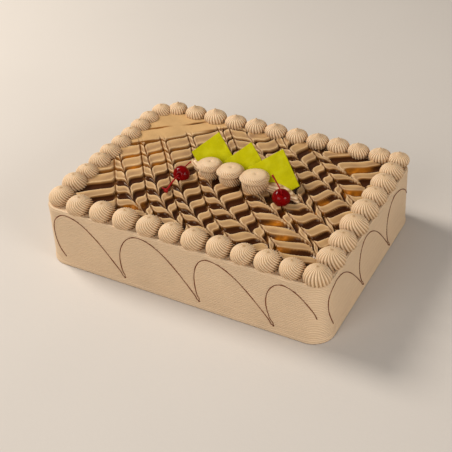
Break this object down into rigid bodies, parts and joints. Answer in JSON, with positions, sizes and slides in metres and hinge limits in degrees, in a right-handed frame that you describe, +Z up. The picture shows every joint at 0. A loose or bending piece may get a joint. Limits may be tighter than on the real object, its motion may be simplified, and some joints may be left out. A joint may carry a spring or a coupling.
{
  "type": "mocha cake",
  "caption": "Rectangular mocha cake with a feathered mocha and chocolate top, a piped shell border, rosettes, green chocolate squares and cherries.",
  "frame": {"origin": "centre of the cake's underside, on the surface it rests on", "axes": "+X along the long sides to the right, +Y away from the viewer's long side, +Z up out of the decorated top"},
  "size_m": [0.309, 0.2294, 0.1021],
  "materials": {
    "border_cream": "satin",
    "side_icing": "satin",
    "marbled_mocha": "gloss",
    "green_chocolate": "satin",
    "cherry_red": "gloss",
    "stem_red": "satin"
  },
  "bodies": {
    "root": {"border_shell_01": "border_cream", "border_shell_02": "border_cream", "border_shell_03": "border_cream", "border_shell_04": "border_cream", "border_shell_05": "border_cream", "border_shell_06": "border_cream", "border_shell_07": "border_cream", "border_shell_08": "border_cream", "border_shell_09": "border_cream", "border_shell_10": "border_cream", "border_shell_11": "border_cream", "border_shell_12": "border_cream", "border_shell_13": "border_cream", "border_shell_14": "border_cream", "border_shell_15": "border_cream", "border_shell_16": "border_cream", "border_shell_17": "border_cream", "border_shell_18": "border_cream", "border_shell_19": "border_cream", "border_shell_20": "border_cream", "border_shell_21": "border_cream", "border_shell_22": "border_cream", "border_shell_23": "border_cream", "border_shell_24": "border_cream", "border_shell_25": "border_cream", "border_shell_26": "border_cream", "border_shell_27": "border_cream", "border_shell_28": "border_cream", "border_shell_29": "border_cream", "border_shell_30": "border_cream", "border_shell_31": "border_cream", "border_shell_32": "border_cream", "border_shell_33": "border_cream", "border_shell_34": "border_cream", "border_shell_35": "border_cream", "border_shell_36": "border_cream", "border_shell_37": "border_cream", "border_shell_38": "border_cream", "border_shell_39": "border_cream", "border_shell_40": "border_cream", "cake_body": "side_icing", "cherry_left": "cherry_red", "cherry_right": "cherry_red", "cream_bed_left": "border_cream", "cream_bed_right": "border_cream", "green_square_left": "green_chocolate", "green_square_middle": "green_chocolate", "green_square_right": "green_chocolate", "marbled_top": "marbled_mocha", "rosette_left": "border_cream", "rosette_middle": "border_cream", "rosette_right": "border_cream", "stem_left": "stem_red", "stem_left_tip": "stem_red", "stem_right": "stem_red"}
  },
  "joints": []
}
